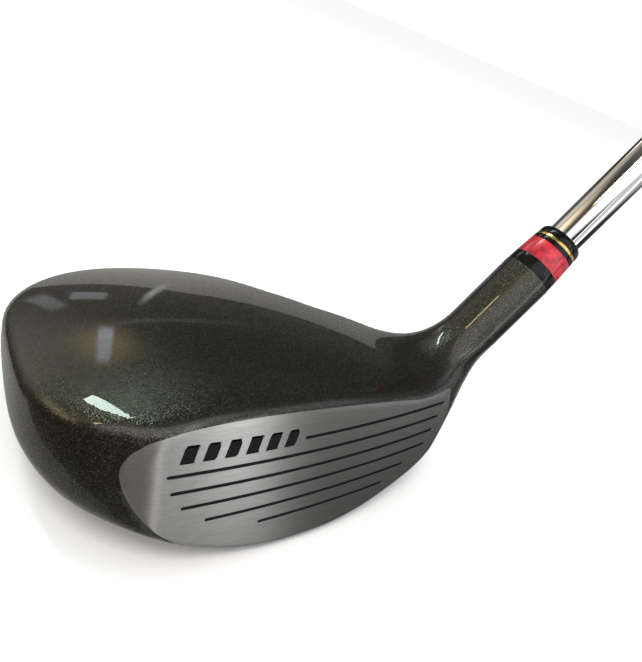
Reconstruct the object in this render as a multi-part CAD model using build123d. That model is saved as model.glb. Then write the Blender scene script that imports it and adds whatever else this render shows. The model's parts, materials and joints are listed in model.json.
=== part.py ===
from build123d import *
import os
from math import cos, pi, radians, sin

import numpy as np

os.makedirs("parts", exist_ok=True)

# ---------------------------------------------------------------------------
# Driving dimensions, millimetres and degrees.
# Frame: +X toe to heel, +Y face to back, +Z up, sole resting on Z = 0.
# ---------------------------------------------------------------------------
lie = 57.5
loft_angle = 16.5
axis_x = 25.7

# Head, plan view: radii every 30 degrees about the plan centre, from +X round to +Y.
plan_centre = (-2.0, 20.0)
plan_radii = (31.0, 22.0, 25.0, 43.0, 53.5, 53.0, 51.0, 52.0, 52.5, 61.5, 50.0, 50.0)
wide_z_back = 14.9
wide_z_front = 12.5
wide_blend_y = (8.0, 22.0)
skirt_rise = 35.0
plan_power = 3.35
sole_power = 2.05
plan_reach = 90.0
sole_flat = 0.5
skirt_scale = 38.0
level_heights = (0.8, 1.8, 3.2, 5.0, 8.0, 12.0, 16.0, 21.0, 27.0, 33.0, 40.0)

# Crown: height, and how far it has fallen at a given distance to toe, heel, back and front.
crown_top = 33.1
crown_x = -10.0
crown_y = 2.3
toe_fall = 9.2
toe_span = 44.0
toe_power = 2.43
heel_fall = 2.7
heel_span = 33.0
back_fall = 16.2
back_span = 58.0
back_power = 1.73
front_fall = 1.3
front_span = 10.0
crown_lean = 0.93
ridge_blend = 1.6
ridge_round = 1.2
crown_grid_x = (-72.0, 76.0, 22)
crown_grid_y = (-50.0, 78.0, 20)
beyond_head = 80.0

# Face: centre point, bulge and roll radii, tighter rounding towards the toe.
face_ref = (-5.5, -14.84, 18.0)
face_mid = 5.5
bulge_radius = 290.0
roll_radius = 280.0
toe_round_from = -29.0
toe_round_radius = 16.0
top_ease_from = 12.5
top_ease = 16.0
face_thick = 2.6
face_grid_u = (-58.0, 74.0, 34)
face_grid_v = (-26.0, 34.0, 21)

# Face insert: margin inside the head's outline, its curved toe end and its heel end.
face_margin = 1.3
rim_u = -37.3
rim_v = 5.3
rim_curve = 26.0
rim_slope = 0.8
rim_corner = 2.0
insert_heel = 44.0
heel_corner = 3.0
insert_start = (5.5, -2.0)
insert_reach = 60.0
insert_seat = 1.5

# Score lines: (start, end, height up the face), and the row of marks beside the top one.
groove_width = 0.75
groove_depth = 0.45
paint_sink = 0.08
slot_reach = 14.0
grooves = (
    (-2.7, 42.2, 6.7),
    (-29.9, 40.9, 3.35),
    (-29.0, 39.5, 0.0),
    (-26.8, 37.4, -3.35),
    (-22.0, 30.1, -6.8),
    (-10.6, 24.0, -10.2),
)
mark_count = 6
mark_start = -28.0
mark_pitch = 4.1
mark_size = (2.5, 3.0)
mark_height = 7.0
mark_slant = 0.8

# Walls, and the outlines of the crown piece and the sole plate.
sole_wall = 1.4
side_wall = 1.4
crown_wall = 1.0
crown_inset = 3.6
crown_front = -5.0
crown_corner = 5.0
crown_hosel_x = 43.0
crown_hosel_r = 21.0
crown_region_z = (12.0, 62.0)
sole_inset = 17.0
sole_outline_z = 4.0
sole_region_z = (-1.0, 5.5)

# Pieces fixed inside: centre, radius and height above the ground.
weight_place = (-4.0, 46.0)
weight_r = 8.0
weight_top = 10.0
melt_place = (-26.0, 18.0)
melt_r = 11.0
melt_top = 3.8

# Hosel.
hosel_r = 6.67
hosel_top = 63.8
bore_r = 4.6
bore_floor = 30.0
hosel_foot = 12.0
neck_blend = 13.8
neck_reach = 20.0

# Neck: its centre line is an arc into the hosel; rings of (degrees round the arc, sunk in).
turn_x = 20.0
turn_z = 43.0
turn_radius = 28.0
turn_rings = ((6, 3.0), (15, 2.4), (24, 1.2), (33, 0.2), (42, 0.0), (51, 0.0))
hosel_rings = (34.0, 38.0, 42.0, 46.0, 50.0, 55.0, 60.0, 63.8)

# Ferrule, lengths up from the hosel top and radii.
ring_base = 3.1
ring_red = 5.1
ring_black = 1.15
ring_gold = 0.85
ferrule_r = (6.6, 6.44, 6.07, 5.97, 5.87)

# Ferrule's top cap: (height, how far in from its outer radius).
ring_cap_dome = ((0.0, 0.0), (1.1, 0.03), (1.8, 0.25), (2.2, 0.6), (2.4, 1.1))

# Shaft.
shaft_tip_r = 4.45
shaft_butt_r = 7.6
shaft_tip_s = 33.0
shaft_end_s = 1066.0
step_first = 300.0
step_pitch = 38.0
step_count = 14
step_ramp = 1.6
tube_wall_tip = 0.6
tube_wall_butt = 0.33
tip_bevel = (0.6, 0.3)
bore_step_lag = 4.0
tip_weight_gap = 1.0
tip_weight_length = 14.0

# Grip.
grip_start = 802.0
grip_end = 1070.0
grip_mouth_r = 9.2
grip_butt_r = 13.4
grip_waist = ((90.0, 10.4), (200.0, 12.4))
mouth_bevel = (1.2, 0.6)
mouth_grooves = (8.0, 0.1)
butt_grooves = (-34.0, -0.2)
ring_groove_pitch = 6.0
ring_groove_count = 3
ring_groove_shape = ((0.0, 0.0), (0.6, 0.5), (1.6, 0.5), (2.2, 0.0))
tape_thick = 0.2
tape_start = 806.0
cap_r = 14.4
cap_base = 3.0
vent_r = 1.5

# Grip cap: (height, how far in from its outer radius).
cap_dome = ((0.0, 0.6), (0.8, 0.0), (4.5, 0.0), (6.5, 1.6), (7.6, 5.0), (8.0, 9.0))

L = radians(loft_angle)
A = radians(lie)
AXIS = np.array([cos(A), 0.0, sin(A)])
ACROSS = np.array([-sin(A), 0.0, cos(A)])
AXIS_FOOT = np.array([axis_x, 0.0, 0.0])
FACE = np.array(face_ref)
FACE_UP = np.array([0.0, sin(L), cos(L)])
FACE_OUT = np.array([0.0, -cos(L), sin(L)])


def write(shape, name):
    solids = shape.solids()
    out = solids[0] if len(solids) == 1 else Compound(children=list(solids))
    export_step(out, f"parts/{name}.step")
    print(name, len(solids), round(sum(s.volume for s in solids), 1))


def ring(points):
    return Wire([Edge.make_spline([Vector(*p) for p in points], periodic=True)])


def skin(points):
    rows = [[Vector(*p) for p in row] for row in points]
    return Face.make_surface_from_array_of_points(rows, tol=0.01, min_deg=3, max_deg=5)


def plan_radius(phi):
    """Smooth closed curve through the plan radii."""
    r = np.array(plan_radii)
    n = len(r)
    step = 2 * pi * np.arange(n) / n
    out = r.mean()
    for k in range(1, n // 2 + 1):
        share = 1 if k == n // 2 else 2
        a = share * np.sum(r * np.cos(k * step)) / n
        b = share * np.sum(r * np.sin(k * step)) / n
        out = out + a * np.cos(k * phi) + b * np.sin(k * phi)
    return out


def soft_max(a, b, k):
    h = np.clip(0.5 + 0.5 * (a - b) / k, 0, 1)
    return b + (a - b) * h + k * h * (1 - h)


def side_gap(p):
    """Roughly the distance outside the skirt and sole, negative inside."""
    x, y, z = p[..., 0], p[..., 1], p[..., 2]
    dx = x - plan_centre[0]
    dy = y - plan_centre[1]
    r = plan_radius(np.arctan2(dy, dx))
    t = np.clip((wide_blend_y[0] - y) / wide_blend_y[1], 0, 1)
    wide = wide_z_back + (wide_z_front - wide_z_back) * t * t * (3 - 2 * t)
    low = np.clip((wide - z) / wide, 0, None)
    high = np.clip((z - wide) / skirt_rise, 0, None)
    g = (np.hypot(dx, dy) / r) ** plan_power + low**sole_power + high**2
    return (g ** (1 / plan_power) - 1) * np.minimum(r, skirt_scale)


def crown_z(x, y):
    toe = toe_fall * (np.abs(x - crown_x) / toe_span) ** toe_power
    heel = heel_fall * ((x - crown_x) / heel_span) ** 2
    back = back_fall * (np.abs(y - crown_y) / back_span) ** back_power
    front = front_fall * ((y - crown_y) / front_span) ** 2
    return crown_top - np.where(x < crown_x, toe, heel) - np.where(y > crown_y, back, front)


def hosel_gap(p):
    d = p - AXIS_FOOT
    s = d @ AXIS
    return np.maximum(np.linalg.norm(d - s[..., None] * AXIS, axis=-1) - hosel_r, hosel_foot - s)


def body_gap(p):
    """Skirt, sole and crown blended into the hosel."""
    crown = (p[..., 2] - crown_z(p[..., 0], p[..., 1])) * crown_lean
    head = soft_max(side_gap(p), crown, ridge_blend)
    return -soft_max(-head, -hosel_gap(p), neck_blend)


def reach(gap, origin, directions, limit):
    """Distance along each direction from the origin to where gap turns positive."""
    pace = 0.5
    steps = np.arange(pace, limit + pace, pace)
    values = gap(origin + directions[:, None, :] * steps[None, :, None])
    outside = values > 0
    first = np.where(outside.any(axis=1), outside.argmax(axis=1), len(steps) - 1)
    low, high = steps[first] - pace, steps[first]
    for _ in range(14):
        mid = (low + high) / 2
        out = gap(origin + directions * mid[:, None]) > 0
        high = np.where(out, mid, high)
        low = np.where(out, low, mid)
    return np.minimum(high, limit)


def spokes(count, across, along):
    a = np.linspace(0, 2 * pi, count, endpoint=False)[:, None]
    return np.cos(a) * np.array(across) + np.sin(a) * np.array(along)


def level_ring(z, sample_z, inset, count=48):
    """Closed outline of the skirt at one height."""
    directions = spokes(count, (1, 0, 0), (0, 1, 0))
    origin = np.array([plan_centre[0], plan_centre[1], sample_z])
    d = reach(side_gap, origin, directions, plan_reach) - inset
    points = origin + directions * d[:, None]
    points[:, 2] = z
    return ring(points)


def side_solid(rise=0.0, inset=0.0):
    """Skirt and sole, or the space inside them when raised and inset by the walls."""
    wires = [level_ring(rise, sole_flat, inset)]
    wires += [level_ring(z + rise, z, inset) for z in level_heights]
    return Solid.make_loft(wires)


def above_crown(drop):
    """Everything above the crown surface lowered by drop."""
    points = []
    for x in np.linspace(*crown_grid_x):
        points.append([(x, y, crown_z(x, y) - drop) for y in np.linspace(*crown_grid_y)])
    return Solid.extrude(skin(points), Vector(0, 0, beyond_head))


def face_sag(u, v):
    toe = np.clip(toe_round_from - u, 0, None)
    top = np.clip(v - top_ease_from, 0, None)
    w = -((u - face_mid) ** 2) / (2 * bulge_radius) - v * v / (2 * roll_radius)
    return w - toe * toe / (2 * toe_round_radius) + top * top / top_ease


def face_point(u, v, w):
    return FACE + np.array([u, 0.0, 0.0]) + v * FACE_UP + w * FACE_OUT


def before_face(drop):
    """Everything in front of the face surface moved back by drop."""
    points = []
    for u in np.linspace(*face_grid_u):
        column = np.linspace(*face_grid_v)
        points.append([tuple(face_point(u, v, face_sag(u, v) - drop)) for v in column])
    return Solid.extrude(skin(points), Vector(0, -beyond_head, 0))


def neck_ring(centre, angle, inset, count=32):
    """Closed outline round the neck, square to its centre line."""
    directions = spokes(count, (-sin(angle), 0, cos(angle)), (0, 1, 0))
    d = reach(body_gap, centre, directions, neck_reach) - inset
    return ring(centre + directions * d[:, None])


def neck_solid():
    wires = []
    for angle, inset in turn_rings:
        a = radians(angle)
        centre = np.array([turn_x + turn_radius * sin(a), 0.0, turn_z - turn_radius * cos(a)])
        wires.append(neck_ring(centre, a, inset))
    for s in hosel_rings:
        wires.append(neck_ring(AXIS_FOOT + AXIS * s, A, 0.0))
    return Solid.make_loft(wires)


def ridged_head():
    """Skirt and sole closed by the crown and the face, the ridge behind the face rounded."""
    head = side_solid() - above_crown(0.0) - before_face(0.0)
    boxes = [(e, e.bounding_box()) for e in head.edges()]
    ridge = [e for e, box in boxes if box.min.Z > wide_z_front / 2 and box.max.Y > 0]
    return fillet(ridge, ridge_round)


def axis_plane(s):
    return Plane(origin=tuple(AXIS_FOOT + AXIS * s), x_dir=(0, 1, 0), z_dir=tuple(AXIS))


def rod(s_from, s_to, r):
    """Cylinder on the shaft axis."""
    return axis_plane(s_from) * Cylinder(r, s_to - s_from, align=(Align.CENTER, Align.CENTER, Align.MIN))


def turned(profile):
    """Solid of revolution about the shaft axis from (s, r) points."""
    sketch = make_face(Polyline([(r, s) for s, r in profile], close=True))
    solid = revolve(Plane.XZ * sketch, Axis.Z)
    return axis_plane(0.0) * solid


def cone(s_from, s_to, r_from, r_to, r_hole):
    return turned([(s_from, r_hole), (s_from, r_from), (s_to, r_to), (s_to, r_hole)])


def cavity_solid():
    hollow = side_solid(sole_wall, side_wall) - above_crown(crown_wall) - before_face(face_thick)
    return hollow - rod(hosel_foot, hosel_top, hosel_r)


def crown_gap(p):
    """Negative inside the crown piece, seen from above."""
    x, y = p[..., 0], p[..., 1]
    on_crown = np.stack([x, y, crown_z(x, y)], axis=-1)
    rim = side_gap(on_crown) + crown_inset
    front = crown_front - y
    hosel = crown_hosel_r - np.hypot(x - crown_hosel_x, y)
    return soft_max(soft_max(rim, front, crown_corner), hosel, crown_corner)


def crown_prism():
    directions = spokes(48, (1, 0, 0), (0, 1, 0))
    low, high = crown_region_z
    origin = np.array([plan_centre[0], plan_centre[1], low])
    d = reach(crown_gap, origin, directions, plan_reach)
    outline = ring(origin + directions * d[:, None])
    return Solid.extrude(Face(outline), Vector(0, 0, high - low))


def insert_gap(q):
    """Negative inside the face insert, in face coordinates."""
    u, v = q[..., 0], q[..., 1]
    p = FACE + u[..., None] * np.array([1.0, 0.0, 0.0]) + v[..., None] * FACE_UP
    p = p + face_sag(u, v)[..., None] * FACE_OUT
    toe = rim_slope * (rim_u + (v - rim_v) ** 2 / rim_curve - u)
    rim = soft_max(body_gap(p), toe, rim_corner) + face_margin
    return soft_max(rim, u - insert_heel, heel_corner)


def face_plane():
    return Plane(origin=face_ref, x_dir=(1, 0, 0), z_dir=tuple(FACE_OUT))


def insert_prism():
    directions = spokes(48, (1, 0, 0), (0, 1, 0))
    origin = np.array([*insert_start, 0.0])
    d = reach(insert_gap, origin, directions, insert_reach)
    outline = face_plane() * Face(ring(origin + directions * d[:, None]))
    return extrude(outline, amount=slot_reach, both=True)


def groove_slots():
    slots = []
    for start, end, height in grooves:
        slot = SlotOverall(end - start, groove_width)
        slots.append(Pos((start + end) / 2, height) * slot)
    return [extrude(face_plane() * s, amount=slot_reach, both=True) for s in slots]


def mark_slots():
    """Slanted lozenges beside the top score line."""
    w, h = mark_size
    lozenge = Polyline([(0, 0), (w, 0), (w + mark_slant, h), (mark_slant, h)], close=True)
    out = []
    for i in range(mark_count):
        at = Pos(mark_start + i * mark_pitch, mark_height - h / 2)
        out.append(extrude(face_plane() * (at * make_face(lozenge)), amount=slot_reach, both=True))
    return out


def fills(plate, slots, shallow, deep):
    """Paint in each slot and the pockets it lies in."""
    pockets = [(plate & slot) & deep for slot in slots]
    return [pocket - shallow for pocket in pockets], pockets


def sole_prism():
    low, high = sole_region_z
    outline = level_ring(low, sole_outline_z, sole_inset)
    return Solid.extrude(Face(outline), Vector(0, 0, high - low))


def shaft_solid():
    """Stepped tube, thin-walled towards the butt."""
    bevel_s, bevel_r = tip_bevel
    outer = [(shaft_tip_s, shaft_tip_r - bevel_r), (shaft_tip_s + bevel_s, shaft_tip_r)]
    inner = [(shaft_tip_s, shaft_tip_r - tube_wall_tip)]
    rise = (shaft_butt_r - shaft_tip_r) / step_count
    for i in range(step_count):
        s = step_first + i * step_pitch
        r = shaft_tip_r + i * rise
        wall = tube_wall_tip + (tube_wall_butt - tube_wall_tip) * (i + 1) / step_count
        outer += [(s, r), (s + step_ramp, r + rise)]
        s += bore_step_lag
        inner += [(s, inner[-1][1]), (s + step_ramp, r + rise - wall)]
    outer.append((shaft_end_s, shaft_butt_r))
    inner.append((shaft_end_s, inner[-1][1]))
    return turned(outer + inner[::-1])


def ring_grooves(s_from, r):
    """Outline of the shallow grooves that run round the grip."""
    out = []
    for i in range(ring_groove_count):
        start = s_from + i * ring_groove_pitch
        out += [(start + s, r - sunk) for s, sunk in ring_groove_shape]
    return out


def grip_solid():
    hole = shaft_butt_r + tape_thick
    last = grip_end - cap_base
    bevel_s, bevel_r = mouth_bevel
    profile = [(grip_start, hole), (grip_start, grip_mouth_r - bevel_r), (grip_start + bevel_s, grip_mouth_r)]
    profile += ring_grooves(grip_start + mouth_grooves[0], grip_mouth_r + mouth_grooves[1])
    profile += [(grip_start + s, r) for s, r in grip_waist]
    profile += ring_grooves(grip_end + butt_grooves[0], grip_butt_r + butt_grooves[1])
    profile += [(last, grip_butt_r), (last, hole)]
    return turned(profile)


def cap_solid():
    hole = shaft_butt_r + tape_thick
    base = grip_end - cap_base
    top = base + cap_dome[-1][0]
    outline = [(base, hole)] + [(base + s, cap_r - sunk) for s, sunk in cap_dome]
    outline += [(top, vent_r), (shaft_end_s, vent_r), (shaft_end_s, hole)]
    return turned(outline)


def build_head():
    outer = (ridged_head() + neck_solid()) - before_face(0.0)
    cavity = cavity_solid()
    shell = outer - cavity - rod(bore_floor, hosel_top + 1, bore_r)
    crown_region = crown_prism()
    crown = shell & crown_region
    shell = shell - crown_region
    face_region = insert_prism() & before_face(face_thick + insert_seat)
    plate = shell & face_region
    shell = shell - face_region
    sole_region = sole_prism()
    sole = shell & sole_region
    shell = shell - sole_region
    return shell, crown, plate, sole, cavity


def build_face(plate):
    shallow = before_face(paint_sink)
    deep = before_face(groove_depth)
    paint, pockets = fills(plate, groove_slots(), shallow, deep)
    marks, more = fills(plate, mark_slots(), shallow, deep)
    for pocket in pockets + more:
        plate = plate - pocket
    write(plate, "face_plate")
    write(Compound(children=[s for p in paint for s in p.solids()]), "groove_paint")
    write(Compound(children=[s for p in marks for s in p.solids()]), "mark_paint")


def upright(place, r, top):
    return Pos(*place) * Cylinder(r, top, align=(Align.CENTER, Align.CENTER, Align.MIN))


def build_inside(cavity):
    """Pieces fixed to the inside of the sole."""
    write(cavity & upright(weight_place, weight_r, weight_top), "back_weight")
    write(cavity & upright(melt_place, melt_r, melt_top), "hot_melt_pad")


def build_ferrule():
    names = ("base_ring", "red_band", "black_spacer", "gold_ring")
    lengths = (ring_base, ring_red, ring_black, ring_gold)
    s = hosel_top
    for i, name in enumerate(names):
        band = cone(s, s + lengths[i], ferrule_r[i], ferrule_r[i + 1], shaft_tip_r)
        write(band, f"ferrule_{name}")
        s += lengths[i]
    top = s + ring_cap_dome[-1][0]
    cap = [(s, shaft_tip_r)] + [(s + rise, ferrule_r[-1] - sunk) for rise, sunk in ring_cap_dome]
    write(turned(cap + [(top, shaft_tip_r)]), "ferrule_top_cap")


def build_shaft():
    write(shaft_solid(), "shaft")
    write(cone(shaft_tip_s, hosel_top, bore_r, bore_r, shaft_tip_r), "hosel_epoxy")
    write(rod(bore_floor, shaft_tip_s, bore_r), "hosel_plug")
    foot = shaft_tip_s + tip_weight_gap
    write(rod(foot, foot + tip_weight_length, shaft_tip_r - tube_wall_tip), "tip_weight")


def build_grip():
    write(grip_solid(), "grip_sleeve")
    tape_r = shaft_butt_r + tape_thick
    write(cone(tape_start, shaft_end_s, tape_r, tape_r, shaft_butt_r), "grip_tape")
    write(cap_solid(), "grip_cap")


def main():
    shell, crown, plate, sole, cavity = build_head()
    write(shell, "head_body")
    write(crown, "crown_shell")
    write(sole, "sole_plate")
    build_face(plate)
    build_inside(cavity)
    build_ferrule()
    build_shaft()
    build_grip()


main()
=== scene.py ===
import json
from math import cos, pi, radians, sin, tan

import bmesh
import bpy
import numpy as np
from mathutils import Matrix, Quaternion, Vector


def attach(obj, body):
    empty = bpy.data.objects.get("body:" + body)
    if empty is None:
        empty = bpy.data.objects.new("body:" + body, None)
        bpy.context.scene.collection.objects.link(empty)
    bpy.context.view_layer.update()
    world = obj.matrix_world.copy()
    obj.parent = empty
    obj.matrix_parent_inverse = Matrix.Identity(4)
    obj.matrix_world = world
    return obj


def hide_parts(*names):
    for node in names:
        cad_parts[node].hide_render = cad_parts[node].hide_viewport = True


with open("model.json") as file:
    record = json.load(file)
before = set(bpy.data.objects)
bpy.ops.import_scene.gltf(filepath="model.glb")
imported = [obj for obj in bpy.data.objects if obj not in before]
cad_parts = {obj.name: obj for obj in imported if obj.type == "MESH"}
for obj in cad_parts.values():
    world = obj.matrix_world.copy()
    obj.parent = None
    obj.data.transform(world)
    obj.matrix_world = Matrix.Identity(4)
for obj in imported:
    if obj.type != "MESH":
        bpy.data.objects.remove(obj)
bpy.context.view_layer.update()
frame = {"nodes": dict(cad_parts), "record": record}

# ---------------------------------------------------------------------------
# The head's driving dimensions, in millimetres, as in the CAD.
# ---------------------------------------------------------------------------
MM = 0.001
LIE = radians(57.5)
LOFT = radians(16.5)
AXIS = np.array([cos(LIE), 0.0, sin(LIE)])
AXIS_FOOT = np.array([25.7, 0.0, 0.0])

# Skirt: plan radii every 30 degrees from +X round to +Y, and the height where it is widest.
PLAN_CENTRE = (-2.0, 20.0)
PLAN_RADII = np.array([31.0, 22.0, 25.0, 43.0, 53.5, 53.0, 51.0, 52.0, 52.5, 61.5, 50.0, 50.0])
WIDE_BACK, WIDE_FRONT, WIDE_FROM_Y, WIDE_SPAN = 14.9, 12.5, 8.0, 22.0
SKIRT_RISE, SKIRT_SCALE = 35.0, 38.0
PLAN_POWER, SOLE_POWER = 3.35, 2.05

# Crown: its height, and how far it has fallen at a given distance to each side.
CROWN_TOP, CROWN_X, CROWN_Y = 33.1, -10.0, 2.3
TOE_FALL, TOE_SPAN, TOE_POWER = 9.2, 44.0, 2.43
HEEL_FALL, HEEL_SPAN = 2.7, 33.0
BACK_FALL, BACK_SPAN, BACK_POWER = 16.2, 58.0, 1.73
FRONT_FALL, FRONT_SPAN = 1.3, 10.0
CROWN_LEAN, RIDGE_BLEND = 0.93, 1.6

# Face: centre point, bulge and roll radii, and the easing towards the toe and the top edge.
FACE = np.array([-5.5, -14.84, 18.0])
FACE_UP = np.array([0.0, sin(LOFT), cos(LOFT)])
FACE_OUT = np.array([0.0, -cos(LOFT), sin(LOFT)])
FACE_MID, BULGE, ROLL = 5.5, 290.0, 280.0
TOE_FROM, TOE_RADIUS = -29.0, 16.0
TOP_EASE_FROM, TOP_EASE = 12.5, 16.0

# Hosel, and the outlines of the crown piece and the sole plate.
HOSEL_R, HOSEL_FOOT, HOSEL_TOP, NECK_BLEND = 6.67, 12.0, 63.8, 13.8
CROWN_INSET, CROWN_FRONT, CROWN_CORNER = 3.6, -5.0, 5.0
CROWN_HOSEL_X, CROWN_HOSEL_R, CROWN_LOWEST = 43.0, 21.0, 12.0
SOLE_INSET, SOLE_OUTLINE_Z, SOLE_PLATE_TOP = 17.0, 4.0, 5.5

# Finish of the face's edge: a wide painted round along the top, a small one below,
# and a narrow bevel round the toe end of the bare steel. The paint laps over the edge,
# most along the top.
EDGE_BLEND, TOP_BLEND = 0.9, 1.9
TOP_FROM, TOP_FULL = 4.0, 9.0
RIM_U, RIM_V, RIM_CURVE, RIM_HEEL = -37.3, 5.3, 26.0, 46.8
RIM_SLOPE, RIM_CORNER, HEEL_CORNER = 0.8, 1.5, 3.0
EDGE_SLOPE, PAINT_LAP, TOP_PAINT_LAP = 0.7, 0.1, 0.53
BEVEL_U, BEVEL_V, BEVEL_CURVE = -36.2, 5.0, 28.5
BEVEL_WIDTH, BEVEL_DEPTH, BEVEL_FADE = 1.15, 0.4, 4.0

# Score lines: (start, end, height up the face), and the row of marks beside the top one.
GROOVE_WIDTH = 0.75
GROOVES = (
    (-2.7, 42.2, 6.7),
    (-29.9, 40.9, 3.35),
    (-29.0, 39.5, 0.0),
    (-26.8, 37.4, -3.35),
    (-22.0, 30.1, -6.8),
    (-10.6, 24.0, -10.2),
)
MARK_COUNT, MARK_START, MARK_PITCH = 6, -28.0, 4.1
MARK_W, MARK_H, MARK_V, MARK_SLANT = 2.5, 3.0, 7.0, 0.8


# ---------------------------------------------------------------------------
# The head's surface as a signed field, in millimetres, negative inside.
# ---------------------------------------------------------------------------
def soft_max(a, b, k):
    h = np.clip(0.5 + 0.5 * (a - b) / k, 0, 1)
    return b + (a - b) * h + k * h * (1 - h)


def plan_radius(phi):
    """Smooth curve of angle through the plan radii: their Fourier series."""
    n = len(PLAN_RADII)
    step = 2 * pi * np.arange(n) / n
    out = PLAN_RADII.mean()
    for k in range(1, n // 2 + 1):
        share = 1 if k == n // 2 else 2
        a = share * np.sum(PLAN_RADII * np.cos(k * step)) / n
        b = share * np.sum(PLAN_RADII * np.sin(k * step)) / n
        out = out + a * np.cos(k * phi) + b * np.sin(k * phi)
    return out


def side_gap(p):
    """Skirt and sole, without the crown."""
    x, y, z = p[..., 0], p[..., 1], p[..., 2]
    dx, dy = x - PLAN_CENTRE[0], y - PLAN_CENTRE[1]
    r = plan_radius(np.arctan2(dy, dx))
    t = np.clip((WIDE_FROM_Y - y) / WIDE_SPAN, 0, 1)
    wide = WIDE_BACK + (WIDE_FRONT - WIDE_BACK) * t * t * (3 - 2 * t)
    low = np.clip((wide - z) / wide, 0, None)
    high = np.clip((z - wide) / SKIRT_RISE, 0, None)
    g = (np.hypot(dx, dy) / r) ** PLAN_POWER + low**SOLE_POWER + high**2
    return (g ** (1 / PLAN_POWER) - 1) * np.minimum(r, SKIRT_SCALE)


def crown_z(x, y):
    toe = TOE_FALL * (np.abs(x - CROWN_X) / TOE_SPAN) ** TOE_POWER
    heel = HEEL_FALL * ((x - CROWN_X) / HEEL_SPAN) ** 2
    back = BACK_FALL * (np.abs(y - CROWN_Y) / BACK_SPAN) ** BACK_POWER
    front = FRONT_FALL * ((y - CROWN_Y) / FRONT_SPAN) ** 2
    return CROWN_TOP - np.where(x < CROWN_X, toe, heel) - np.where(y > CROWN_Y, back, front)


def hosel_gap(p):
    d = p - AXIS_FOOT
    s = d @ AXIS
    return np.maximum(np.linalg.norm(d - s[..., None] * AXIS, axis=-1) - HOSEL_R, HOSEL_FOOT - s)


def body_gap(p):
    """Head and hosel run together, not yet cut off by the face."""
    crown = (p[..., 2] - crown_z(p[..., 0], p[..., 1])) * CROWN_LEAN
    head = soft_max(side_gap(p), crown, RIDGE_BLEND)
    return -soft_max(-head, -hosel_gap(p), NECK_BLEND)


def face_sag(u, v):
    """Height of the face over the plane through its centre, at u along and v up the face."""
    toe = np.clip(TOE_FROM - u, 0, None)
    top = np.clip(v - TOP_EASE_FROM, 0, None)
    w = -((u - FACE_MID) ** 2) / (2 * BULGE) - v * v / (2 * ROLL)
    return w - toe * toe / (2 * TOE_RADIUS) + top * top / TOP_EASE


def bevel_cut(u, v):
    """Depth of the bevel round the toe end of the steel, easing out under the paint."""
    t = (BEVEL_U + (v - BEVEL_V) ** 2 / BEVEL_CURVE - u) / BEVEL_WIDTH
    return BEVEL_DEPTH * (np.clip(t, 0, 1) - np.clip((t - 1) / BEVEL_FADE, 0, 1))


def face_gap(p):
    """Positive in front of the hitting face."""
    d = p - FACE
    u, v = d[..., 0], d @ FACE_UP
    return d @ FACE_OUT - face_sag(u, v) + bevel_cut(u, v)


def near_top(v):
    """0 low on the face, 1 along its top edge."""
    return np.clip((v - TOP_FROM) / (TOP_FULL - TOP_FROM), 0, 1)


def head_gap(p):
    """The finished outside of the head, its face edge rounded."""
    blend = EDGE_BLEND + (TOP_BLEND - EDGE_BLEND) * near_top((p - FACE) @ FACE_UP)
    return soft_max(body_gap(p), face_gap(p), blend)


def bare_gap(p):
    """Negative where the face is bare steel, positive where it is painted."""
    d = p - FACE
    u, v = d[..., 0], d @ FACE_UP
    toe = RIM_SLOPE * (RIM_U + (v - RIM_V) ** 2 / RIM_CURVE - u)
    heel = RIM_SLOPE * (u - RIM_HEEL)
    front = (body_gap(p) - face_gap(p)) * EDGE_SLOPE + PAINT_LAP + TOP_PAINT_LAP * near_top(v)
    return soft_max(soft_max(front, toe, RIM_CORNER), heel, HEEL_CORNER)


def crown_piece_gap(p):
    """Negative on the crown piece, positive beyond it."""
    x, y = p[..., 0], p[..., 1]
    on_crown = np.stack([x, y, crown_z(x, y)], axis=-1)
    rim = side_gap(on_crown) + CROWN_INSET
    hosel = CROWN_HOSEL_R - np.hypot(x - CROWN_HOSEL_X, y)
    inside = soft_max(soft_max(rim, CROWN_FRONT - y, CROWN_CORNER), hosel, CROWN_CORNER)
    return np.maximum(inside, CROWN_LOWEST - p[..., 2])


def sole_piece_gap(p):
    """Negative on the sole plate, positive beyond it: the skirt's outline at one height, inset."""
    dx, dy = p[..., 0] - PLAN_CENTRE[0], p[..., 1] - PLAN_CENTRE[1]
    low = (WIDE_BACK - SOLE_OUTLINE_Z) / WIDE_BACK
    share = (1 - low**SOLE_POWER) ** (1 / PLAN_POWER)
    outline = plan_radius(np.arctan2(dy, dx)) * share - SOLE_INSET
    return np.maximum(np.hypot(dx, dy) - outline, p[..., 2] - SOLE_PLATE_TOP)


def hosel_end(p):
    """Positive beyond the hosel's top."""
    return (p - AXIS_FOOT) @ AXIS - HOSEL_TOP


def slot_gap(u, v):
    """Positive outside every score line and mark, at u along and v up the face."""
    gap = np.full(u.shape, np.inf)
    half = GROOVE_WIDTH / 2
    for start, end, height in GROOVES:
        du = np.clip(np.abs(u - (start + end) / 2) - (end - start) / 2 + half, 0, None)
        gap = np.minimum(gap, np.hypot(du, v - height) - half)
    for i in range(MARK_COUNT):
        rise = v - (MARK_V - MARK_H / 2)
        left = u - (MARK_START + i * MARK_PITCH) - MARK_SLANT * rise / MARK_H
        across = np.maximum(-left, left - MARK_W)
        gap = np.minimum(gap, np.maximum(across, np.maximum(-rise, rise - MARK_H)))
    return gap


# ---------------------------------------------------------------------------
# Slopes of a field, and points pulled onto its surface.
# ---------------------------------------------------------------------------
PROBE = 0.02
LEAST_LENGTH, LEAST_SQUARE = 1e-12, 1e-9
NET_PULLS, HALVINGS, FACE_STEPS = 4, 16, 12
FACE_LEAST_SLOPE = 0.45


def gradient(field, p):
    out = np.empty_like(p)
    for i in range(3):
        d = np.zeros(3)
        d[i] = PROBE
        out[:, i] = (field(p + d) - field(p - d)) / (2 * PROBE)
    return out


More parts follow.
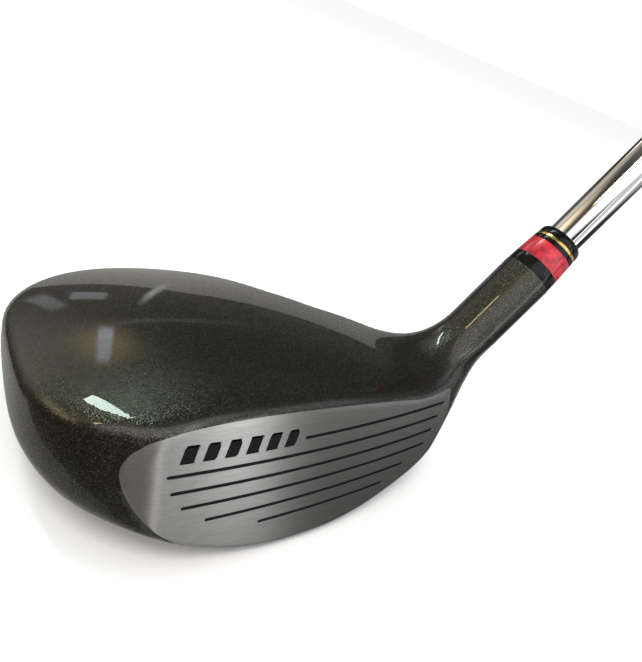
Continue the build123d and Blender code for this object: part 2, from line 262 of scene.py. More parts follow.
def unit(v):
    return v / np.maximum(np.linalg.norm(v, axis=-1, keepdims=True), LEAST_LENGTH)


def onto(field):
    """One step that pulls points onto a field's zero surface."""
    def pull(p):
        g = gradient(field, p)
        return p - (field(p) / np.maximum((g * g).sum(1), LEAST_SQUARE))[:, None] * g
    return pull


def face_point(u, v):
    """Point of the head's surface straight in front of (u, v) of the face."""
    across = np.stack([u, np.zeros_like(u), np.zeros_like(u)], -1)
    base = FACE + across + v[..., None] * FACE_UP
    ahead = PROBE / 2 * FACE_OUT
    w = face_sag(u, v)
    for _ in range(FACE_STEPS):
        p = base + w[..., None] * FACE_OUT
        slope = (head_gap(p + ahead) - head_gap(p - ahead)) / PROBE
        w = w - head_gap(p) / np.maximum(slope, FACE_LEAST_SLOPE)
    return base + w[..., None] * FACE_OUT


# ---------------------------------------------------------------------------
# Meshes from fields: a net over a grid, cut exactly along other fields.
# ---------------------------------------------------------------------------
CORNERS = [(i, j, k) for i in (0, 1) for j in (0, 1) for k in (0, 1)]


def at_corner(grid, corner):
    """The grid's values at one corner of every cell."""
    return grid[tuple(slice(c, c + n - 1) for c, n in zip(corner, grid.shape))]


def cell_centres(value, mixed):
    """Mean of the crossings on each mixed cell's edges, in cells from its low corner."""
    centre = np.zeros((mixed.sum(), 3))
    count = np.zeros(mixed.sum())
    for a in CORNERS:
        for i in range(3):
            if a[i] == 1:
                continue
            b = tuple(a[j] + (1 if j == i else 0) for j in range(3))
            va, vb = at_corner(value, a)[mixed], at_corner(value, b)[mixed]
            cross = (va < 0) != (vb < 0)
            t = np.where(cross, va / np.where(cross, va - vb, 1), 0)
            offset = np.array(a, float)[None] + t[:, None] * np.eye(3)[i]
            centre += np.where(cross[:, None], offset, 0)
            count += cross
    return centre / count[:, None]


def net_quads(inside, ids):
    """A quad through the four cells round each grid edge that crosses the surface."""
    quads = []
    for i in range(3):
        j, k = (i + 1) % 3, (i + 2) % 3
        a = [slice(1, -1)] * 3
        b = [slice(1, -1)] * 3
        a[i], b[i] = slice(0, -1), slice(1, None)
        first, second = inside[tuple(a)], inside[tuple(b)]
        where = np.argwhere(first != second)
        out = first[tuple(where.T)]
        base = where + 1
        base[:, i] -= 1
        around = []
        for dj, dk in ((-1, -1), (0, -1), (0, 0), (-1, 0)):
            cell = base.copy()
            cell[:, j] += dj
            cell[:, k] += dk
            around.append(ids[tuple(cell.T)])
        quad = np.stack(around, 1)
        quads.append(np.where(out[:, None], quad, quad[:, ::-1]))
    return [tuple(q) for q in np.concatenate(quads).tolist()]


def surface_net(field, low, high, step):
    """Quads close to the zero surface of field, pulled onto it."""
    axes = [np.arange(low[i], high[i] + step, step) for i in range(3)]
    gx, gy, gz = np.meshgrid(*axes, indexing="ij")
    value = field(np.stack([gx, gy, gz], -1))
    inside = value < 0
    total = sum(at_corner(inside, c).astype(int) for c in CORNERS)
    mixed = (total > 0) & (total < len(CORNERS))
    ids = np.full(mixed.shape, -1)
    ids[mixed] = np.arange(mixed.sum())
    points = np.array(low) + step * (np.argwhere(mixed) + cell_centres(value, mixed))
    pull = onto(field)
    for _ in range(NET_PULLS):
        points = pull(points)
    return points, net_quads(inside, ids)


def crossings(points, value, ends, field, project):
    """Where field is zero between the two ends of each cut edge, found by halving."""
    a, b = points[ends[:, 0]], points[ends[:, 1]]
    flip = value[ends[:, 0]] > 0
    inner = np.where(flip[:, None], b, a)
    outer = np.where(flip[:, None], a, b)
    for _ in range(HALVINGS):
        mid = (inner + outer) / 2
        if project:
            mid = project(mid)
        inside = (field(mid) < 0)[:, None]
        inner = np.where(inside, mid, inner)
        outer = np.where(inside, outer, mid)
    return (inner + outer) / 2


def clipped(poly, value, crossing):
    """The corners of the polygon's part where value is negative."""
    out = []
    for n, a in enumerate(poly):
        b = poly[(n + 1) % len(poly)]
        if value[a] < 0:
            out.append(a)
        if (value[a] < 0) != (value[b] < 0):
            out.append(crossing(a, b))
    return out


def cut(points, polygons, field, project=None):
    """The part of the mesh where field is negative, cut along its zero line."""
    value = field(points)
    keep, place = [], {}

    def crossing(a, b):
        return place.setdefault((min(a, b), max(a, b)), len(points) + len(place))

    for poly in polygons:
        out = clipped(poly, value, crossing)
        if len(out) > 2:
            keep.append(tuple(out))
    if place:
        new = crossings(points, value, np.array(list(place)), field, project)
        points = np.concatenate([points, new])
    return compact(points, keep)


def compact(points, polygons):
    """The mesh without the points that no polygon uses."""
    used = sorted({i for poly in polygons for i in poly})
    place = {old: new for new, old in enumerate(used)}
    return points[used], [tuple(place[i] for i in poly) for poly in polygons]


def linked(name, data):
    obj = bpy.data.objects.new(name, data)
    bpy.context.scene.collection.objects.link(obj)
    return obj


def shell(name, points, polygons, normals, thickness):
    """Closed sheet with its outer side on the points, shaded with the given normals."""
    count = len(points)
    inner = points - normals * thickness
    edges = [(a, poly[(n + 1) % len(poly)]) for poly in polygons for n, a in enumerate(poly)]
    known = set(edges)
    faces = list(polygons)
    faces += [tuple(i + count for i in reversed(poly)) for poly in polygons]
    faces += [(b, a, a + count, b + count) for a, b in edges if (b, a) not in known]
    mesh = bpy.data.meshes.new(name)
    mesh.from_pydata((np.concatenate([points, inner]) * MM).tolist(), [], faces)
    mesh.polygons.foreach_set("use_smooth", [True] * len(mesh.polygons))
    split = np.concatenate([normals, -normals])
    mesh.normals_split_custom_set_from_vertices(split.tolist())
    return linked(name, mesh)


# ---------------------------------------------------------------------------
# Materials.
# ---------------------------------------------------------------------------
FLAKES_PER_METRE, FLAKE_TILT = 7000.0, 0.36
PEBBLES_PER_METRE = 1400.0
TONE_FROM, TONE_TO = 0.3, 0.7
ROUGH_SPREAD = 0.15


def material(name):
    mat = bpy.data.materials.new(name)
    mat.use_nodes = True
    mat.node_tree.nodes.clear()
    out = node(mat, "ShaderNodeOutputMaterial")
    bsdf = node(mat, "ShaderNodeBsdfPrincipled")
    join(mat, bsdf.outputs[0], out.inputs[0])
    return mat, bsdf


def node(mat, kind, **values):
    """A new node; each value sets its property or its input of that name."""
    made = mat.node_tree.nodes.new(kind)
    for key, value in values.items():
        if hasattr(made, key):
            setattr(made, key, value)
        else:
            made.inputs[key.replace("_", " ")].default_value = value
    return made


def tune(bsdf, **values):
    for key, value in values.items():
        bsdf.inputs[key.replace("_", " ")].default_value = value


def join(mat, source, target):
    mat.node_tree.links.new(source, target)


def in_place(mat):
    return node(mat, "ShaderNodeTexCoord").outputs["Object"]


def ramp(mat, source, stops):
    made = node(mat, "ShaderNodeValToRGB")
    elements = made.color_ramp.elements
    while len(elements) < len(stops):
        elements.new(0.5)
    for element, (position, colour) in zip(elements, stops):
        element.position = position
        element.color = (*colour, 1.0)
    join(mat, source, made.inputs[0])
    return made.outputs[0]


def toned(mat, bsdf, source, colour, darker, lighter):
    """Base colour that wavers round one colour with the source."""
    low = tuple(c * darker for c in colour)
    high = tuple(min(c * lighter, 1.0) for c in colour)
    join(mat, ramp(mat, source, ((TONE_FROM, low), (TONE_TO, high))), bsdf.inputs["Base Color"])


def flake_normal(mat, flakes):
    """The surface's normal, tilted a little differently in each flake."""
    centred = node(mat, "ShaderNodeVectorMath", operation="SUBTRACT")
    centred.inputs[1].default_value = (0.5, 0.5, 0.5)
    join(mat, flakes.outputs["Color"], centred.inputs[0])
    scaled = node(mat, "ShaderNodeVectorMath", operation="SCALE")
    scaled.inputs["Scale"].default_value = FLAKE_TILT
    join(mat, centred.outputs[0], scaled.inputs[0])
    tilted = node(mat, "ShaderNodeVectorMath", operation="ADD")
    join(mat, node(mat, "ShaderNodeNewGeometry").outputs["Normal"], tilted.inputs[0])
    join(mat, scaled.outputs[0], tilted.inputs[1])
    facing = node(mat, "ShaderNodeVectorMath", operation="NORMALIZE")
    join(mat, tilted.outputs[0], facing.inputs[0])
    return facing.outputs[0]


def paint_material():
    """Metallic flake paint under a clear coat: each flake has its own tone and tilt."""
    mat, bsdf = material("flake_paint")
    flakes = node(mat, "ShaderNodeTexVoronoi", Scale=FLAKES_PER_METRE)
    join(mat, in_place(mat), flakes.inputs["Vector"])
    tint = ramp(mat, flakes.outputs["Color"], (
        (0.0, (0.019, 0.019, 0.015)),
        (0.7, (0.055, 0.054, 0.044)),
        (1.0, (0.26, 0.25, 0.2)),
    ))
    join(mat, tint, bsdf.inputs["Base Color"])
    join(mat, flake_normal(mat, flakes), bsdf.inputs["Normal"])
    tune(bsdf, Metallic=0.9, Roughness=0.34)
    tune(bsdf, Coat_Weight=1.0, Coat_Roughness=0.015, Coat_IOR=1.42)
    return mat


def brushed_material(name, colour, stretch, roughness, across):
    """Steel with fine lines; highlights spread along the direction called across."""
    mat, bsdf = material(name)
    squeeze = node(mat, "ShaderNodeMapping")
    squeeze.inputs["Scale"].default_value = stretch
    join(mat, in_place(mat), squeeze.inputs["Vector"])
    lines = node(mat, "ShaderNodeTexNoise", Scale=1.0, Detail=4.0, Roughness=0.7)
    join(mat, squeeze.outputs[0], lines.inputs["Vector"])
    toned(mat, bsdf, lines.outputs["Fac"], colour, darker=0.86, lighter=1.1)
    bump = node(mat, "ShaderNodeBump", Strength=0.12, Distance=0.00005)
    join(mat, lines.outputs["Fac"], bump.inputs["Height"])
    join(mat, bump.outputs[0], bsdf.inputs["Normal"])
    tangent = node(mat, "ShaderNodeCombineXYZ")
    for socket, value in zip(tangent.inputs, across):
        socket.default_value = value
    join(mat, tangent.outputs[0], bsdf.inputs["Tangent"])
    tune(bsdf, Anisotropic=0.8, Metallic=1.0, Roughness=roughness)
    return mat


def plain_material(name, colour, metallic, roughness, coat=0.0, scale=900.0, vary=0.12, shine=0.5):
    """A finish with fine uneven tone and roughness."""
    mat, bsdf = material(name)
    cloud = node(mat, "ShaderNodeTexNoise", Scale=scale, Detail=3.0)
    join(mat, in_place(mat), cloud.inputs["Vector"])
    toned(mat, bsdf, cloud.outputs["Fac"], colour, darker=1 - vary, lighter=1 + vary)
    rough = node(mat, "ShaderNodeMapRange")
    rough.inputs["To Min"].default_value = roughness * (1 - ROUGH_SPREAD)
    rough.inputs["To Max"].default_value = roughness * (1 + ROUGH_SPREAD)
    join(mat, cloud.outputs["Fac"], rough.inputs["Value"])
    join(mat, rough.outputs[0], bsdf.inputs["Roughness"])
    tune(bsdf, Metallic=metallic, Specular_IOR_Level=shine, Coat_Weight=coat, Coat_Roughness=0.03)
    return mat


def rubber_material():
    """Matt black rubber with a fine pebbled skin, darker in the hollows between the pebbles: painted
    shade.
    """
    mat, bsdf = material("grip_rubber")
    pebbles = node(mat, "ShaderNodeTexVoronoi", Scale=PEBBLES_PER_METRE)
    join(mat, in_place(mat), pebbles.inputs["Vector"])
    # Black rubber, made darker towards the hollows between the pebbles; that darkening is painted
    # shade.
    rubber_and_hollow_shade = ramp(mat, pebbles.outputs["Distance"], (
        (0.0, (0.02, 0.02, 0.021)),
        (0.6, (0.008, 0.008, 0.009)),
    ))
    join(mat, rubber_and_hollow_shade, bsdf.inputs["Base Color"])
    bump = node(mat, "ShaderNodeBump", Strength=0.5, Distance=0.0002, invert=True)
    join(mat, pebbles.outputs["Distance"], bump.inputs["Height"])
    join(mat, bump.outputs[0], bsdf.inputs["Normal"])
    tune(bsdf, Roughness=0.65)
    return mat


def all_finishes():
    """One material for each of the record's slots."""
    steel = (0.5, 0.49, 0.47)
    face_lines, sole_lines = (60.0, 3000.0, 3000.0), (60.0, 2500.0, 800.0)
    red = plain_material("ferrule_red", (0.46, 0.013, 0.03), 0.1, 0.3, coat=0.5, scale=500.0, vary=0.5)
    return {
        "gunmetal_paint": paint_material(),
        "face_steel": brushed_material("face_brushed", steel, face_lines, 0.33, FACE_UP),
        "sole_steel": brushed_material("sole_brushed", steel, sole_lines, 0.3, (0, 1, 0)),
        "black_paint": plain_material("black_fill", (0.004, 0.004, 0.004), 0.0, 0.5, shine=0.2),
        "tungsten": plain_material("tungsten", (0.28, 0.28, 0.29), 1.0, 0.5),
        "hot_melt": plain_material("hot_melt", (0.6, 0.5, 0.25), 0.0, 0.4),
        "cork_plug": plain_material("cork", (0.4, 0.28, 0.15), 0.0, 0.8, scale=600.0, vary=0.4),
        "epoxy": plain_material("epoxy", (0.6, 0.58, 0.5), 0.0, 0.4),
        "chrome": plain_material("chrome", (0.96, 0.96, 0.96), 1.0, 0.05, vary=0.02),
        "brass": plain_material("brass", (0.6, 0.42, 0.15), 1.0, 0.3),
        "ferrule_black": plain_material("ferrule_black", (0.004, 0.004, 0.005), 0.0, 0.12, shine=0.3),
        "ferrule_red": red,
        "ferrule_gold": plain_material("ferrule_gold", (0.8, 0.58, 0.2), 1.0, 0.22),
        "grip_rubber": rubber_material(),
        "tape": plain_material("tape", (0.6, 0.58, 0.5), 0.0, 0.8),
    }


FINISHES = all_finishes()
SLOTS = {row["node"]: row["material_slot"] for row in frame["record"]["subparts"]}


def stand_for(obj, node_name):
    """Makes obj the visible form of a CAD node, in that node's finish."""
    slot = SLOTS[node_name]
    obj.data.materials.append(FINISHES[slot])
    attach(obj, "root")
    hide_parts(node_name)


# ---------------------------------------------------------------------------
# Head pieces, in millimetres.
# ---------------------------------------------------------------------------
GRID_LOW, GRID_HIGH, GRID_STEP = (-58.0, -26.0, -2.0), (72.0, 72.0, 62.0), 1.0
SKIN_THICK, FACE_SKIN_THICK, SEAM = 0.8, 0.6, 0.2
FACE_U, FACE_U_STEP = (-56.0, 58.0), 0.4
FACE_V, FACE_V_STEP = (-21.0, 17.0), 0.5
GROOVE_GRID = (-0.7, -0.2, 0.0, 0.2, 0.7)
GRID_DECIMALS = 3


def skin_piece(name, mesh, thickness, node_name):
    points, polygons = mesh
    normals = unit(gradient(head_gap, points))
    stand_for(shell(name, points, polygons, normals, thickness), node_name)


def head_pieces():
    """Crown, sole plate and body cut from one surface."""
    points, quads = surface_net(head_gap, GRID_LOW, GRID_HIGH, GRID_STEP)
    pull = onto(head_gap)
    points, quads = cut(points, quads, hosel_end, pull)
    points, quads = cut(points, quads, lambda p: -bare_gap(p), pull)
    crown = cut(points, quads, crown_piece_gap, pull)
    below = cut(points, quads, lambda p: -crown_piece_gap(p), pull)
    sole = cut(*below, lambda p: sole_piece_gap(p) + SEAM / 2, pull)
    body = cut(*below, lambda p: SEAM / 2 - sole_piece_gap(p), pull)
    skin_piece("crown_skin", crown, SKIN_THICK, "crown_shell")
    skin_piece("body_skin", body, SKIN_THICK, "head_body")
    skin_piece("sole_skin", sole, SKIN_THICK, "sole_plate")


def face_grid():
    """Flat (u, v) grid over the face, with closer lines along the score lines."""
    u_lines = np.arange(*FACE_U, FACE_U_STEP)
    v_lines = set(np.arange(*FACE_V, FACE_V_STEP).round(GRID_DECIMALS))
    for _, _, height in GROOVES:
        v_lines |= {round(height + d, GRID_DECIMALS) for d in GROOVE_GRID}
    u, v = np.meshgrid(u_lines, np.array(sorted(v_lines)), indexing="ij")
    rows, columns = u.shape
    starts = [i * columns + j for i in range(rows - 1) for j in range(columns - 1)]
    quads = [(a, a + columns, a + columns + 1, a + 1) for a in starts]
    return np.stack([u.ravel(), v.ravel()], -1), quads


def face_piece():
    """Bare steel of the face, open where the score lines and marks are."""
    def rim(q):
        return bare_gap(face_point(q[..., 0], q[..., 1]))

    def outside_slots(q):
        return -slot_gap(q[..., 0], q[..., 1])

    flat, quads = cut(*face_grid(), rim)
    flat, quads = cut(flat, quads, outside_slots)
    points = face_point(flat[:, 0], flat[:, 1])
    skin_piece("face_skin", (points, quads), FACE_SKIN_THICK, "face_plate")


# ---------------------------------------------------------------------------
# Turned pieces on the shaft axis.
# ---------------------------------------------------------------------------
TURN_STEPS = 128
SHARP_ANGLE = radians(32)
RING_ROUND, ROUND_STEPS = 0.12, 4


def axis_matrix():
    turn = Matrix(((0.0, sin(LIE), cos(LIE)), (1.0, 0.0, 0.0), (0.0, -cos(LIE), sin(LIE)))).to_4x4()
    turn.translation = Vector(AXIS_FOOT) * MM
    return turn


def finish_turned(mesh):
    """Turns the faces outwards, shades them smooth and marks the sharp edges."""
    bm = bmesh.new()
    bm.from_mesh(mesh)
    bmesh.ops.recalc_face_normals(bm, faces=bm.faces)
    for f in bm.faces:
        f.smooth = True
    for e in bm.edges:
        e.smooth = len(e.link_faces) == 2 and e.calc_face_angle() < SHARP_ANGLE
    bm.to_mesh(mesh)
    bm.free()


def turned(name, profile):
    """Revolves a closed (s, r) outline, in millimetres, about the shaft axis."""
    verts, faces = [], []
    n = len(profile)
    for i in range(TURN_STEPS):
        a = 2 * pi * i / TURN_STEPS
        k = (i + 1) % TURN_STEPS
        verts += [(r * cos(a) * MM, r * sin(a) * MM, s * MM) for s, r in profile]
        for j in range(n):
            m = (j + 1) % n
            faces.append((i * n + j, i * n + m, k * n + m, k * n + j))
    mesh = bpy.data.meshes.new(name)
    mesh.from_pydata(verts, [], faces)
    finish_turned(mesh)
    obj = linked(name, mesh)
    obj.matrix_world = axis_matrix()
    return obj


def rounded(profile, radius):
    """The outline with each corner rounded off, starting that far from it."""
    out = []
    for i, corner in enumerate(profile):
        p = np.array(corner)
        before = np.array(profile[i - 1]) - p
        after = np.array(profile[(i + 1) % len(profile)]) - p
        start = p + before / np.linalg.norm(before) * radius
        end = p + after / np.linalg.norm(after) * radius
        for k in range(ROUND_STEPS + 1):
            t = k / ROUND_STEPS
            out.append(tuple((1 - t) ** 2 * start + 2 * t * (1 - t) * p + t * t * end))
    return out


# ---------------------------------------------------------------------------
# Ferrule, shaft and grip, in millimetres along and out from the shaft axis.
# Small outlines are (height, how far in from the outer radius).
# ---------------------------------------------------------------------------
RING_NAMES = ("base_ring", "red_band", "black_spacer", "gold_ring")
RING_LENGTHS = (3.1, 5.1, 1.15, 0.85, 2.4)
RING_RADII = (6.6, 6.44, 6.07, 5.97, 5.87)
RING_CAP_DOME = ((0.0, 0.1), (0.1, 0.0), (1.1, 0.03), (1.7, 0.2), (2.1, 0.5), (2.35, 0.9), (2.4, 1.1))

TIP_START, TIP_R, BUTT_R = 33.0, 4.45, 7.6
TIP_BEVEL = ((0.0, 0.3), (0.6, 0.0))
TIP_BORE_R, BUTT_BORE_R = 3.6, 7.1
STEP_FIRST, STEP_PITCH, STEP_COUNT = 300.0, 38.0, 14
STEP_SHAPE = ((0.0, 0.0), (0.5, 0.2), (1.1, 0.8), (1.6, 1.0))
SHAFT_END = 1066.0

GRIP_START, GRIP_END = 802.0, 1070.0
MOUTH_R, GRIP_BUTT_R, TAPE_THICK = 9.2, 13.4, 0.2
MOUTH_BEVEL = ((0.0, 0.6), (0.4, 0.2), (1.2, 0.0))
MOUTH_GROOVES, MOUTH_GROOVE_DEPTH, MOUTH_SWELL = (8.0, 14.0, 20.0), 0.5, 0.1
BUTT_GROOVES, BUTT_GROOVE_DEPTH, BUTT_SWELL = (-34.0, -28.0, -22.0), 0.6, -0.2
RING_GROOVE = ((0.0, 0.0), (0.6, 1.0), (1.6, 1.0), (2.2, 0.0))
GRIP_WAIST = ((90.0, 10.4), (200.0, 12.4))
CAP_BASE, CAP_R, VENT_R = 3.0, 14.4, 1.5
CAP_DOME = (
    (0.0, 0.6), (0.3, 0.15), (0.8, 0.0), (4.5, 0.0), (5.6, 0.5),
    (6.5, 1.6), (7.2, 3.2), (7.6, 5.0), (8.0, 9.0),
)


def outline(s, r, shape):
    return [(s + up, r - inwards) for up, inwards in shape]


def ferrule_pieces():
    s = HOSEL_TOP
    for i, name in enumerate(RING_NAMES):
        a, b = s, s + RING_LENGTHS[i]
        profile = [(a, TIP_R), (a, RING_RADII[i]), (b, RING_RADII[i + 1]), (b, TIP_R)]
        stand_for(turned("ring_" + name, rounded(profile, RING_ROUND)), "ferrule_" + name)
        s = b
    dome = outline(s, RING_RADII[-1], RING_CAP_DOME)
    profile = [(s, TIP_R)] + dome + [(s + RING_LENGTHS[-1], TIP_R)]
    stand_for(turned("ring_top_cap", profile), "ferrule_top_cap")


def shaft_piece():
    profile = [(TIP_START, TIP_BORE_R)] + outline(TIP_START, TIP_R, TIP_BEVEL)
    rise = (BUTT_R - TIP_R) / STEP_COUNT
    for i in range(STEP_COUNT):
        s, r = STEP_FIRST + i * STEP_PITCH, TIP_R + i * rise
        profile += [(s + up, r + share * rise) for up, share in STEP_SHAPE]
    profile += [(SHAFT_END, BUTT_R), (SHAFT_END, BUTT_BORE_R), (STEP_FIRST, TIP_BORE_R)]
    stand_for(turned("shaft_tube", profile), "shaft")


def ring_grooves(starts, r, depth):
    return [(s + up, r - share * depth) for s in starts for up, share in RING_GROOVE]


def grip_piece():
    hole = BUTT_R + TAPE_THICK
    near_mouth = [GRIP_START + s for s in MOUTH_GROOVES]
    near_butt = [GRIP_END + s for s in BUTT_GROOVES]
    profile = [(GRIP_START, hole)] + outline(GRIP_START, MOUTH_R, MOUTH_BEVEL)
    profile += ring_grooves(near_mouth, MOUTH_R + MOUTH_SWELL, MOUTH_GROOVE_DEPTH)
    profile += [(GRIP_START + s, r) for s, r in GRIP_WAIST]
    profile += ring_grooves(near_butt, GRIP_BUTT_R + BUTT_SWELL, BUTT_GROOVE_DEPTH)
    profile += [(GRIP_END - CAP_BASE, GRIP_BUTT_R), (GRIP_END - CAP_BASE, hole)]
    stand_for(turned("grip", profile), "grip_sleeve")


def cap_piece():
    s = GRIP_END - CAP_BASE
    hole = BUTT_R + TAPE_THICK
    profile = [(s, hole)] + outline(s, CAP_R, CAP_DOME)
    profile += [(profile[-1][0], VENT_R), (SHAFT_END, VENT_R), (SHAFT_END, hole)]
    stand_for(turned("grip_end_cap", profile), "grip_cap")


def club():
    """Finishes for every CAD node, then the visible forms of the pieces that need one."""
    for name, obj in frame["nodes"].items():
        obj.data.materials.clear()
        obj.data.materials.append(FINISHES[SLOTS[name]])
    head_pieces()
    face_piece()
    ferrule_pieces()
    shaft_piece()
    grip_piece()
    cap_piece()


# ---------------------------------------------------------------------------
# Studio, in metres. Lamps and panels are placed by direction from the head: azimuth from
# the front (-Y) round towards the heel (+X), then elevation, both in degrees.
# ---------------------------------------------------------------------------
PANEL_DISTANCE = 1.6
TABLE_EDGE_TILT, TABLE_EDGE, TABLE_GREY = (0.5, 0.0, -1.0), 0.2, (0.36, 0.352, 0.335)
WHITE = (1.0, 1.0, 1.0)
FLOOR_HALF, FLOOR_DROP, FLOOR_GREY = 12.0, 0.0002, (0.95, 0.95, 0.95, 1)


def towards(azimuth, elevation):
    az, el = radians(azimuth), radians(elevation)
    return Vector((sin(az) * cos(el), -cos(az) * cos(el), sin(el)))


def aimed(obj, azimuth, elevation, lean, further=1.0):
    """Places obj out along a direction, facing the head, its long side leaning from upright.
    One that stands further off is enlarged to look the same size, behind the others."""
    way = towards(azimuth, elevation)
    obj.location = way * PANEL_DISTANCE * further
    obj.scale = (further, further, further)
    obj.rotation_mode = "QUATERNION"
    obj.rotation_quaternion = way.to_track_quat("Z", "Y") @ Quaternion((0, 0, 1), radians(-lean))


def span(degrees_wide):
    """Width that looks that many degrees wide from the head."""
    return 2 * PANEL_DISTANCE * tan(radians(degrees_wide / 2))


def rectangle(name, half_wide, half_high):
    w, h = half_wide, half_high
    mesh = bpy.data.meshes.new(name)
    mesh.from_pydata([(-w, -h, 0), (w, -h, 0), (w, h, 0), (-w, h, 0)], [], [(0, 1, 2, 3)])
    return linked(name, mesh)


def lamp(name, azimuth, elevation, wide, high, power, colour=WHITE, mirrored=True, lean=0):
    light = bpy.data.lights.new(name, "AREA")
    light.shape = "RECTANGLE"
    light.size, light.size_y = span(wide), span(high)
    light.energy = power
    light.color = colour
    obj = linked(name, light)
    aimed(obj, azimuth, elevation, lean)
    obj.visible_glossy = mirrored


def faded(mat, soft):
    """0 at a panel's edges, rising to 1 over the given share of its width and height."""
    split = node(mat, "ShaderNodeSeparateXYZ")
    join(mat, node(mat, "ShaderNodeTexCoord").outputs["Generated"], split.inputs[0])
    both = node(mat, "ShaderNodeMath", operation="MULTIPLY")
    for axis, factor in zip("XY", both.inputs):
        inwards = node(mat, "ShaderNodeMath", operation="PINGPONG")
        inwards.inputs[1].default_value = 0.5
        join(mat, split.outputs[axis], inwards.inputs[0])
        rise = node(mat, "ShaderNodeMapRange", interpolation_type="SMOOTHSTEP")
        rise.inputs["From Max"].default_value = soft
        join(mat, inwards.outputs[0], rise.inputs["Value"])
        join(mat, rise.outputs[0], factor)
    return both.outputs[0]


def glow_material(name, brightness, colour, soft):
    mat = bpy.data.materials.new(name)
    mat.use_nodes = True
    mat.node_tree.nodes.clear()
    out = node(mat, "ShaderNodeOutputMaterial")
    glow = node(mat, "ShaderNodeEmission", Strength=brightness, Color=(*colour, 1))
    fade = node(mat, "ShaderNodeMixShader")
    join(mat, faded(mat, soft), fade.inputs[0])
    join(mat, node(mat, "ShaderNodeBsdfTransparent").outputs[0], fade.inputs[1])
    join(mat, glow.outputs[0], fade.inputs[2])
    join(mat, fade.outputs[0], out.inputs[0])
    return mat


def panel(name, azimuth, elevation, wide, high, brightness, colour=WHITE, soft=0.15, lean=0,
          further=1.0):
    """A glowing panel, fading out at its edges, that only reflections see."""
    obj = rectangle(name, span(wide) / 2, span(high) / 2)
    aimed(obj, azimuth, elevation, lean, further)
    obj.data.materials.append(glow_material(name, brightness, colour, soft))
    obj.visible_camera = False
    obj.visible_diffuse = False
    obj.visible_shadow = False


def mixed(mat, factor, first, second):
    """Colour going from first to second; either may be a colour or a socket."""
    mix = node(mat, "ShaderNodeMix", data_type="RGBA")
    join(mat, factor, mix.inputs["Factor"])
    for socket, value in ((mix.inputs[6], first), (mix.inputs[7], second)):
        if isinstance(value, tuple):
            socket.default_value = (*value, 1)
        else:
            join(mat, value, socket)
    return mix.outputs[2]


def floor():
    obj = rectangle("floor", FLOOR_HALF, FLOOR_HALF)
    obj.location.z = -FLOOR_DROP
    mat, bsdf = material("floor")
    tune(bsdf, Base_Color=FLOOR_GREY, Roughness=1.0, Specular_IOR_Level=0.0)
    obj.data.materials.append(mat)
    obj.visible_glossy = False


def room_tones(world, way):
    """A dim room by height, and a grey table below a tilted edge."""
    split = node(world, "ShaderNodeSeparateXYZ")
    join(world, way, split.inputs[0])
    room = ramp(world, split.outputs["Z"], (
        (0.0, (0.03, 0.024, 0.018)),
        (0.29, (0.018, 0.018, 0.016)),
        (0.33, (0.04, 0.039, 0.034)),
        (0.6, (0.055, 0.052, 0.045)),
        (0.75, (0.12, 0.11, 0.095)),
        (1.0, (0.08, 0.078, 0.065)),
    ))
    below = node(world, "ShaderNodeVectorMath", operation="DOT_PRODUCT")
    below.inputs[1].default_value = TABLE_EDGE_TILT
    join(world, way, below.inputs[0])
    edge = node(world, "ShaderNodeMath", operation="GREATER_THAN")
    edge.inputs[1].default_value = TABLE_EDGE
    join(world, below.outputs["Value"], edge.inputs[0])
    return mixed(world, edge.outputs[0], room, TABLE_GREY)


def studio_world():
    """White to the eye and on the floor; reflections see the room over the table."""
    world = bpy.data.worlds.new("studio")
    world.use_nodes = True
    around = room_tones(world, node(world, "ShaderNodeTexCoord").outputs["Generated"])
    mirrored = node(world, "ShaderNodeLightPath").outputs["Is Glossy Ray"]
    background = world.node_tree.nodes["Background"]
    join(world, mixed(world, mirrored, WHITE, around), background.inputs["Color"])
    bpy.context.scene.world = world


def lamps():
    lamp("key", -55, 65, 18, 18, 9.0, mirrored=False)
    lamp("tube_lamp", -158, 56.5, 3.2, 26, 4.4, (0.82, 1.0, 0.88), lean=11)
    lamp("warm_lamp", -81, 41, 4, 9, 1.5, (1.0, 0.78, 0.45))


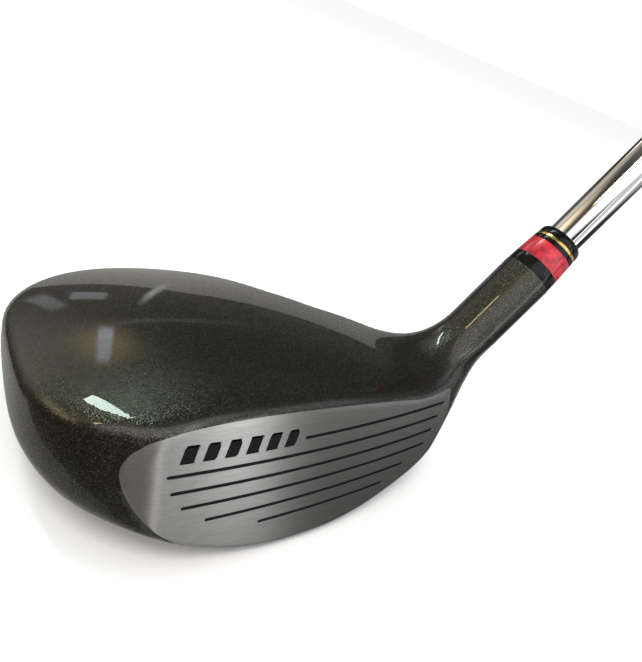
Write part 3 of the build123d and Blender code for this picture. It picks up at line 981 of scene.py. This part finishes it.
def room_panels():
    """What the crown and the toe reflect: the room behind the club."""
    panel("tube_glow", -155, 60, 64, 50, 0.6, (0.86, 1.0, 0.88), soft=0.5, further=1.3)
    panel("back_window", 179, 26.5, 4.5, 21, 2.6, (0.92, 0.9, 1.0), soft=0.3, lean=30)
    panel("back_window_glow", 179, 26.5, 21, 27, 1.3, (1.0, 0.78, 0.4), soft=0.5, further=1.3)
    panel("door_edge", 160.5, 3.5, 2.4, 21, 1.0, soft=0.5, lean=28)
    panel("far_pane", 171, 3, 7, 5, 0.55, (0.9, 0.93, 1.0), lean=30)
    panel("far_curtain", 178, 2, 5, 12, 0.45, (0.9, 0.93, 1.0), soft=0.3)
    panel("ceiling_edge", 166, 19, 56, 4, 0.28, soft=0.5)
    panel("room_wall", -156, 16, 60, 54, 0.7, (1.0, 0.92, 0.78), soft=0.5)
    panel("toe_glow", -116, 24, 64, 30, 2.1, (1.0, 0.82, 0.55), soft=0.5)
    panel("warm_wall", -104, 54, 84, 26, 0.3, (1.0, 0.88, 0.66), soft=0.4)


def window_panels():
    """What the face, hosel and shaft reflect: windows in front of the club."""
    panel("window_pane", 9, 30, 9, 44, 3.5, (0.88, 0.94, 1.0), soft=0.5)
    panel("window", -26, 40, 84, 56, 1.22, (1.0, 0.985, 0.95), soft=0.18)
    panel("side_window", 42, 28, 40, 34, 0.9, (0.85, 0.92, 1.0), soft=0.4)
    panel("window_low", 22, 3, 13, 46, 2.0, (0.95, 0.98, 1.0))
    panel("window_gap", 8, 3, 22, 46, 0.6, (0.95, 0.97, 1.0))
    panel("toe_strip", -5, -6, 6, 44, 1.4)
    panel("toe_dark", -27, -22, 38, 40, 0.08, (1.0, 0.9, 0.8))
    panel("front_dark", 51, -31, 60, 46, 0.03, (1.0, 0.97, 0.92), soft=0.08)
    panel("side_sky", 66, 3, 50, 14, 0.6, (0.88, 0.92, 1.0))


def studio():
    floor()
    studio_world()
    bpy.context.scene.view_settings.view_transform = "Standard"
    lamps()
    room_panels()
    window_panels()


CAMERA_PLACE = (-0.07495, -0.06791, 0.0952)
CAMERA_AZIMUTH, CAMERA_ELEVATION, CAMERA_ROLL = -46.83, 28.99, 23.26
CAMERA_LENS, CAMERA_NEAR, CAMERA_FAR = 31.1, 0.002, 20.0


def camera():
    data = bpy.data.cameras.new("camera")
    data.lens = CAMERA_LENS
    data.clip_start = CAMERA_NEAR
    data.clip_end = CAMERA_FAR
    obj = linked("camera", data)
    forward = -towards(CAMERA_AZIMUTH, CAMERA_ELEVATION)
    right = forward.cross(Vector((0, 0, 1))).normalized()
    up = right.cross(forward)
    roll = radians(CAMERA_ROLL)
    x = cos(roll) * right + sin(roll) * up
    y = -sin(roll) * right + cos(roll) * up
    obj.matrix_world = Matrix.Translation(CAMERA_PLACE) @ Matrix((x, y, -forward)).transposed().to_4x4()
    bpy.context.scene.camera = obj


club()
studio()
camera()
